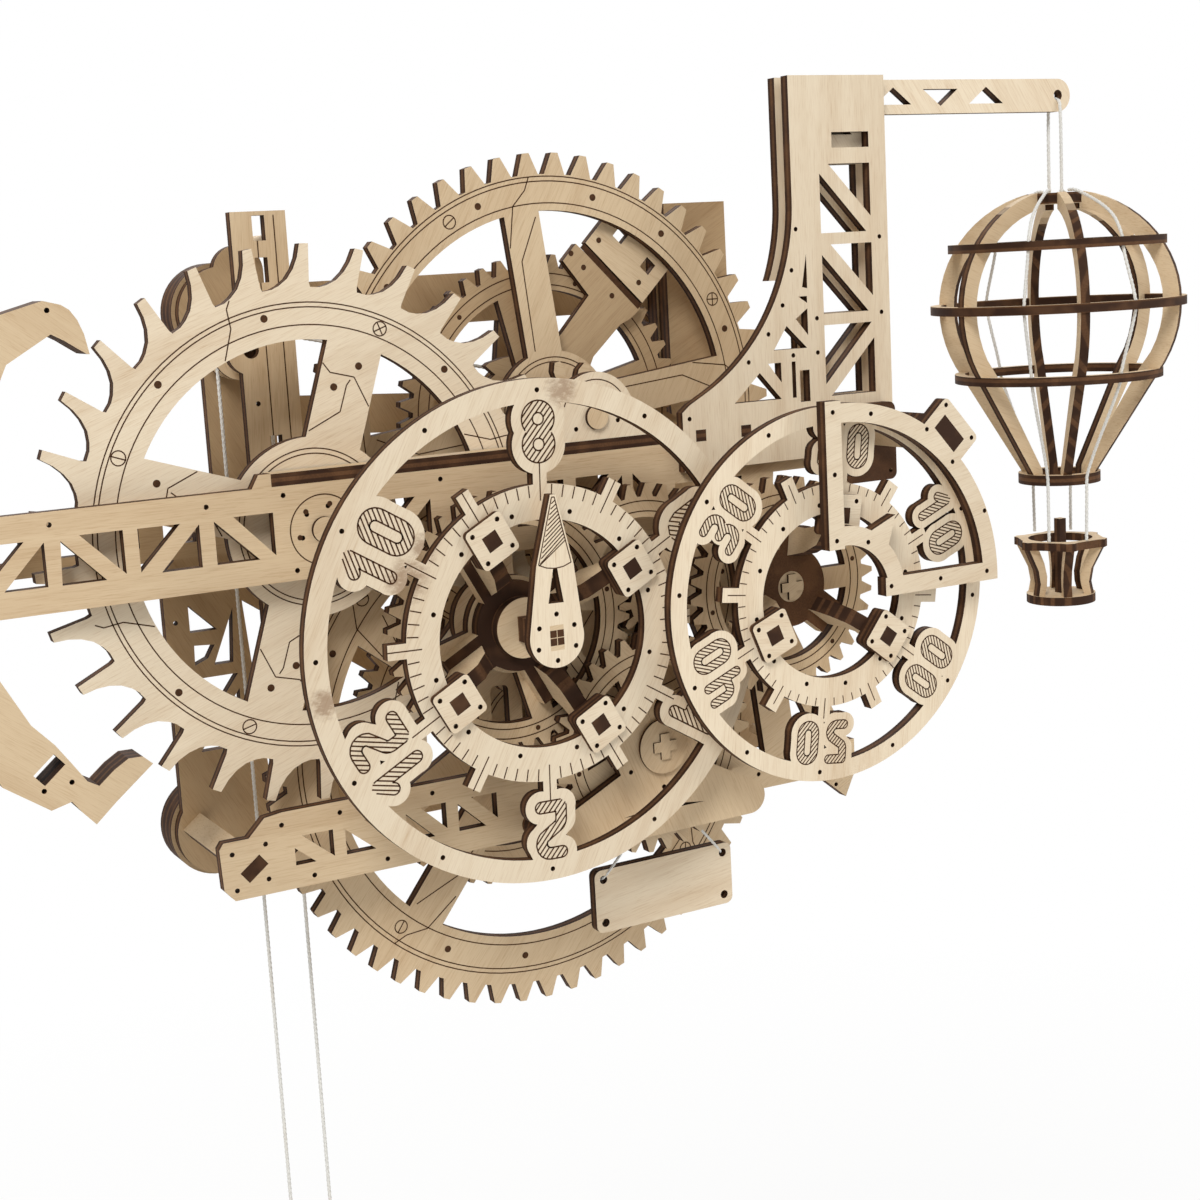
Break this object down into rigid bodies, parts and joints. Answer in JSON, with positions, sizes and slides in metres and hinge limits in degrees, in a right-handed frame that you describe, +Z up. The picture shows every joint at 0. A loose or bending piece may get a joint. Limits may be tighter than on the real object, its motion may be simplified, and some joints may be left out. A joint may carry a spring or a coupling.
{
  "type": "wall clock",
  "caption": "Wall-hung wooden gear clock with turning dials, escape wheel and pendulum, weight drive, trussed plywood frame and a hanging balloon.",
  "frame": {"origin": "middle of the line between the two wall screw holes, on the wall face of the spacer discs", "axes": "+X to the viewer's right, +Y into the wall, +Z up; the dials face -Y"},
  "size_m": [0.3826, 0.098, 0.4055],
  "materials": {
    "plywood_face": "satin",
    "plywood": "satin",
    "plywood_edge": "matte",
    "cord": "matte"
  },
  "bodies": {
    "frame": {"upper_beam": "plywood", "lower_beam": "plywood", "movement_plate": "plywood", "hour_strut": "plywood", "beam_shelf": "plywood", "top_bearing": "plywood", "arbor_bracket": "plywood", "tower_front": "plywood", "tower_rear": "plywood_edge", "tower_arm": "plywood", "ply_stack": "plywood_edge", "left_column": "plywood", "rear_beam": "plywood", "rear_frame": "plywood", "wall_spacers": "plywood", "spacer_posts": "plywood_edge", "hour_post": "plywood_edge", "hour_pointer": "plywood_face", "sector_frame": "plywood_face", "sector_strut": "plywood_edge", "drive_cord": "cord", "weight_cords": "cord"},
    "drive": {"drive_wheel": "plywood", "drive_transfer": "plywood", "drive_arbor": "plywood_edge"},
    "hour": {"hour_dial": "plywood_face", "hour_tiles": "plywood_face", "hour_spider": "plywood", "hour_wheel": "plywood"},
    "idler": {"idler_wheel": "plywood", "idler_arbor": "plywood_edge"},
    "minute": {"minute_dial": "plywood_face", "minute_tiles": "plywood_face", "minute_spider": "plywood", "minute_wheel": "plywood", "minute_pinion": "plywood", "minute_axle": "plywood_edge"},
    "centre": {"centre_gear": "plywood", "centre_wheel": "plywood", "centre_axle": "plywood_edge"},
    "winding": {"winding_wheel": "plywood"},
    "click": {"drive_click": "plywood_edge"},
    "drum": {"cord_drum": "plywood_edge"},
    "top": {"top_wheel": "plywood", "top_pinion": "plywood", "top_axle": "plywood_edge"},
    "escape": {"escape_wheel": "plywood_face", "escape_arbor": "plywood_edge"},
    "pendulum": {"anchor": "plywood", "pendulum_rod": "plywood", "pendulum_bob": "plywood_edge"},
    "plaque": {"plaque": "plywood", "plaque_cord": "cord"},
    "balloon": {"balloon_ribs": "plywood", "balloon_rings": "plywood", "balloon_strings": "cord", "basket": "plywood_edge"},
    "guide": {"guide_pulley": "plywood_edge"},
    "weight": {"weight": "plywood_edge"},
    "sling": {"sling_pulley": "plywood_edge"}
  },
  "joints": [
    {"name": "drive_turn", "type": "hinge", "parent": "frame", "child": "drive", "pos_m": [-0.0024, -0.042, -0.1118], "axis": [0, 1, 0], "continuous": true},
    {"name": "top_turn", "type": "hinge", "parent": "frame", "child": "top", "pos_m": [0.0138, -0.042, -0.0308], "axis": [0, 1, 0], "continuous": true},
    {"name": "escape_turn", "type": "hinge", "parent": "frame", "child": "escape", "pos_m": [-0.06065, -0.042, -0.0507], "axis": [0, 1, 0], "continuous": true},
    {"name": "winding_turn", "type": "hinge", "parent": "frame", "child": "winding", "pos_m": [0.0138, -0.028, -0.0308], "axis": [0, 1, 0], "continuous": true},
    {"name": "centre_turn", "type": "hinge", "parent": "frame", "child": "centre", "pos_m": [0.0182, -0.059, -0.1132], "axis": [0, 1, 0], "continuous": true},
    {"name": "minute_turn", "type": "hinge", "parent": "frame", "child": "minute", "pos_m": [0.0594, -0.069, -0.078], "axis": [0, 1, 0], "continuous": true},
    {"name": "idler_turn", "type": "hinge", "parent": "frame", "child": "idler", "pos_m": [0.02125, -0.064, -0.078], "axis": [0, 1, 0], "continuous": true},
    {"name": "hour_turn", "type": "hinge", "parent": "frame", "child": "hour", "pos_m": [-0.018, -0.074, -0.078], "axis": [0, 1, 0], "continuous": true},
    {"name": "drum_wind", "type": "hinge", "parent": "winding", "child": "drum", "pos_m": [0.0138, -0.019, -0.0308], "axis": [0, 1, 0], "continuous": true},
    {"name": "click_lift", "type": "hinge", "parent": "winding", "child": "click", "pos_m": [0.04194, -0.024, -0.02378], "axis": [0, -1, 0], "range_deg": [0, 12]},
    {"name": "pendulum_swing", "type": "hinge", "parent": "frame", "child": "pendulum", "pos_m": [-0.1547, -0.039, -0.0507], "axis": [0, 1, 0], "range_deg": [-2.5, 2.5]},
    {"name": "plaque_swing", "type": "hinge", "parent": "frame", "child": "plaque", "pos_m": [0.0243, -0.06, -0.1305], "axis": [0, 1, 0], "range_deg": [-8, 8]},
    {"name": "balloon_swing", "type": "hinge", "parent": "frame", "child": "balloon", "pos_m": [0.168, -0.0555, 0.0455], "axis": [0, 1, 0], "range_deg": [-6, 6]},
    {"name": "guide_turn", "type": "hinge", "parent": "frame", "child": "guide", "pos_m": [-0.0651, -0.0185, -0.009], "axis": [0, 1, 0], "continuous": true},
    {"name": "weight_travel", "type": "slide", "parent": "frame", "child": "weight", "axis": [0, 0, 1], "range_m": [-0.1, 0.06], "deforming": ["weight_cords"]},
    {"name": "sling_turn", "type": "hinge", "parent": "weight", "child": "sling", "pos_m": [-0.0651, -0.0185, -0.268], "axis": [0, 1, 0], "continuous": true}
  ],
  "couplings": [
    {"joint": "top_turn", "follows": "drive_turn", "ratio": -6},
    {"joint": "escape_turn", "follows": "drive_turn", "ratio": 30},
    {"joint": "winding_turn", "follows": "drive_turn", "ratio": -1.0833},
    {"joint": "centre_turn", "follows": "drive_turn", "ratio": -0.25},
    {"joint": "minute_turn", "follows": "drive_turn", "ratio": 0.25},
    {"joint": "idler_turn", "follows": "drive_turn", "ratio": -0.083333},
    {"joint": "hour_turn", "follows": "drive_turn", "ratio": 0.020833}
  ]
}
